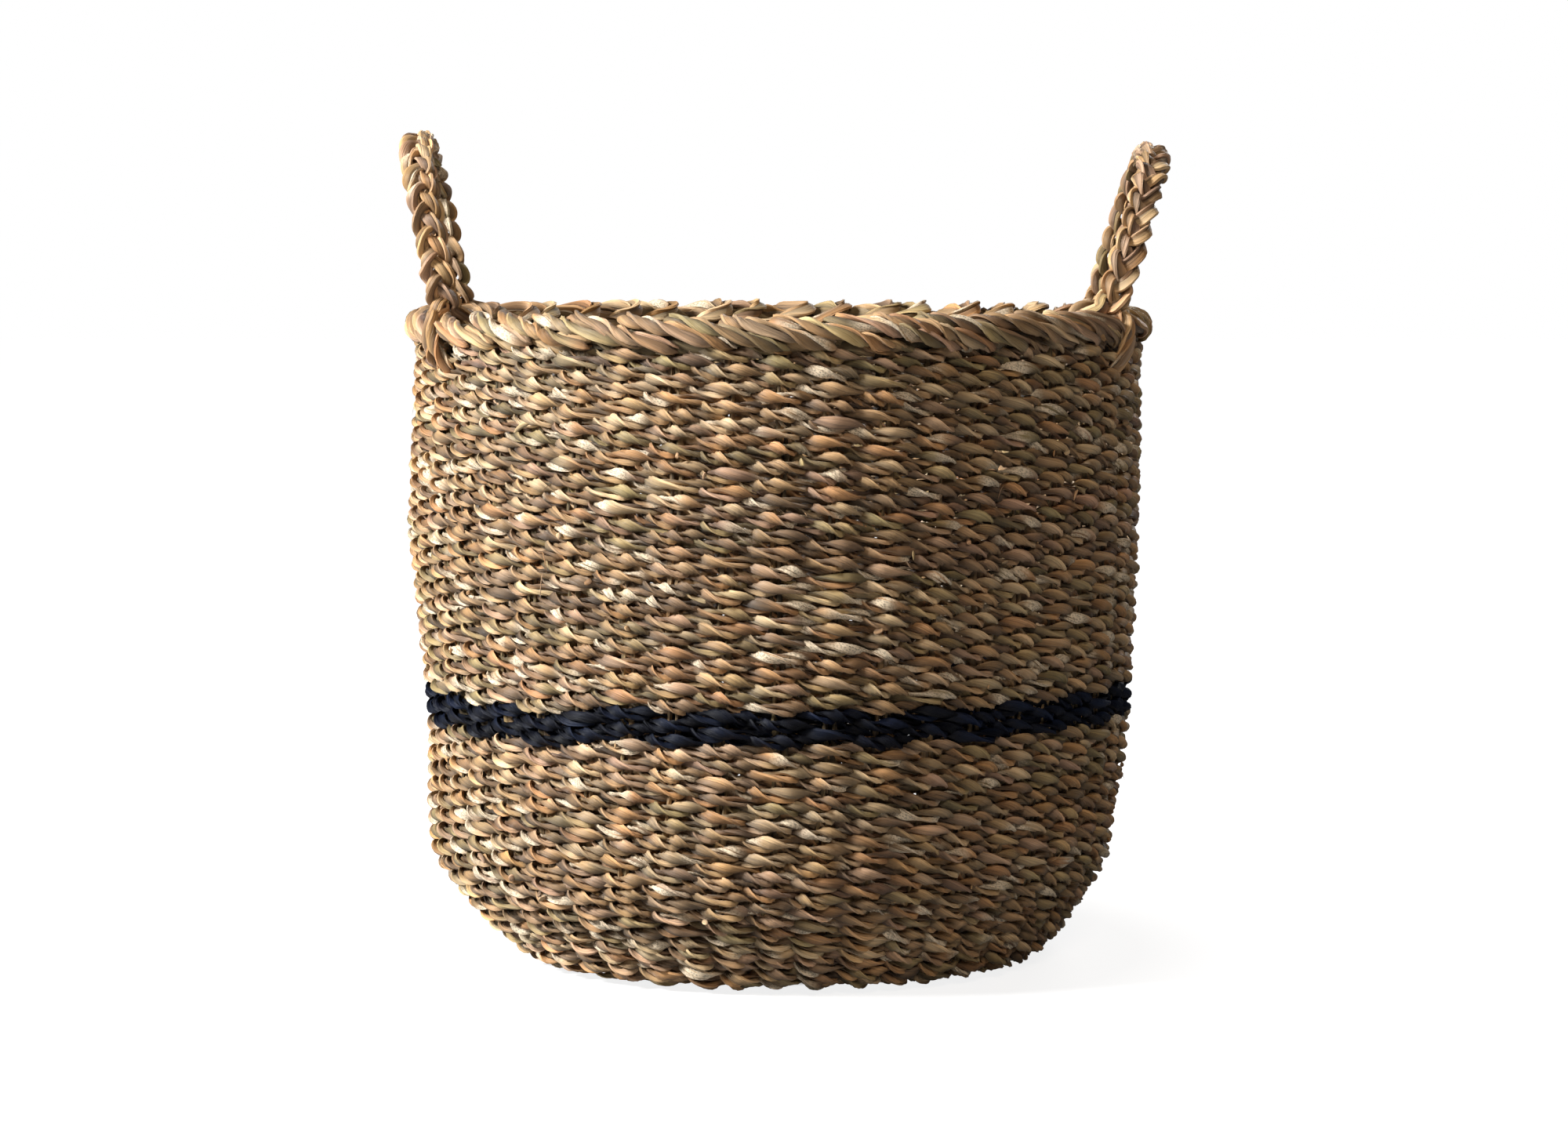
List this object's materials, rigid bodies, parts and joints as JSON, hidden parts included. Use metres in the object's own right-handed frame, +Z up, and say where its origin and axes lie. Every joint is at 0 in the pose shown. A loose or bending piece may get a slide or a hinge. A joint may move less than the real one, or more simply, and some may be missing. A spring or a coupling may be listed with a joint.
{
  "type": "seagrass storage basket",
  "caption": "Round woven seagrass storage basket with rounded base corner, navy band, folded border and plaited handles that flex at the border.",
  "frame": {"origin": "centre of the underside of the base, on the floor", "axes": "+Z up the basket's axis; the handles stand at -X (left) and +X (right); -Y is the front"},
  "size_m": [0.4202, 0.408, 0.4517],
  "materials": {
    "natural_seagrass": "twisted two-ply seagrass cord, dry and slightly glossy along the fibres",
    "navy_seagrass": "seagrass cord dyed navy",
    "stake_cord": "thin hard-twisted seagrass cord",
    "border_seagrass": "stake cords folded over and laid along the edge",
    "plait_seagrass": "plaited two-ply seagrass cord"
  },
  "bodies": {
    "basket": {"base_centre_wrap": "natural_seagrass", "base_weave": "natural_seagrass", "corner_weave": "natural_seagrass", "lower_wall_weave": "natural_seagrass", "navy_band_weave": "navy_seagrass", "upper_wall_weave": "natural_seagrass", "main_stakes": "stake_cord", "added_stakes": "stake_cord", "border_core": "stake_cord", "border_strands": "border_seagrass", "left_front_tails": "plait_seagrass", "left_back_tails": "plait_seagrass", "right_front_tails": "plait_seagrass", "right_back_tails": "plait_seagrass"},
    "left_handle": {"left_front_foot": "plait_seagrass", "left_back_foot": "plait_seagrass", "left_plait_strand_a": "plait_seagrass", "left_plait_strand_b": "plait_seagrass", "left_plait_strand_c": "plait_seagrass"},
    "right_handle": {"right_front_foot": "plait_seagrass", "right_back_foot": "plait_seagrass", "right_plait_strand_a": "plait_seagrass", "right_plait_strand_b": "plait_seagrass", "right_plait_strand_c": "plait_seagrass"}
  },
  "joints": [
    {"name": "left_handle_flex", "type": "hinge", "parent": "basket", "child": "left_handle", "pos_m": [-0.18032, -0.0063, 0.3595], "axis": [0.0349, -0.9994, 0], "range_deg": [-50, 40], "stiffness_Nm_per_rad": 0.35},
    {"name": "right_handle_flex", "type": "hinge", "parent": "basket", "child": "right_handle", "pos_m": [0.18032, -0.0063, 0.3595], "axis": [0.0349, 0.9994, 0], "range_deg": [-50, 40], "stiffness_Nm_per_rad": 0.35}
  ]
}
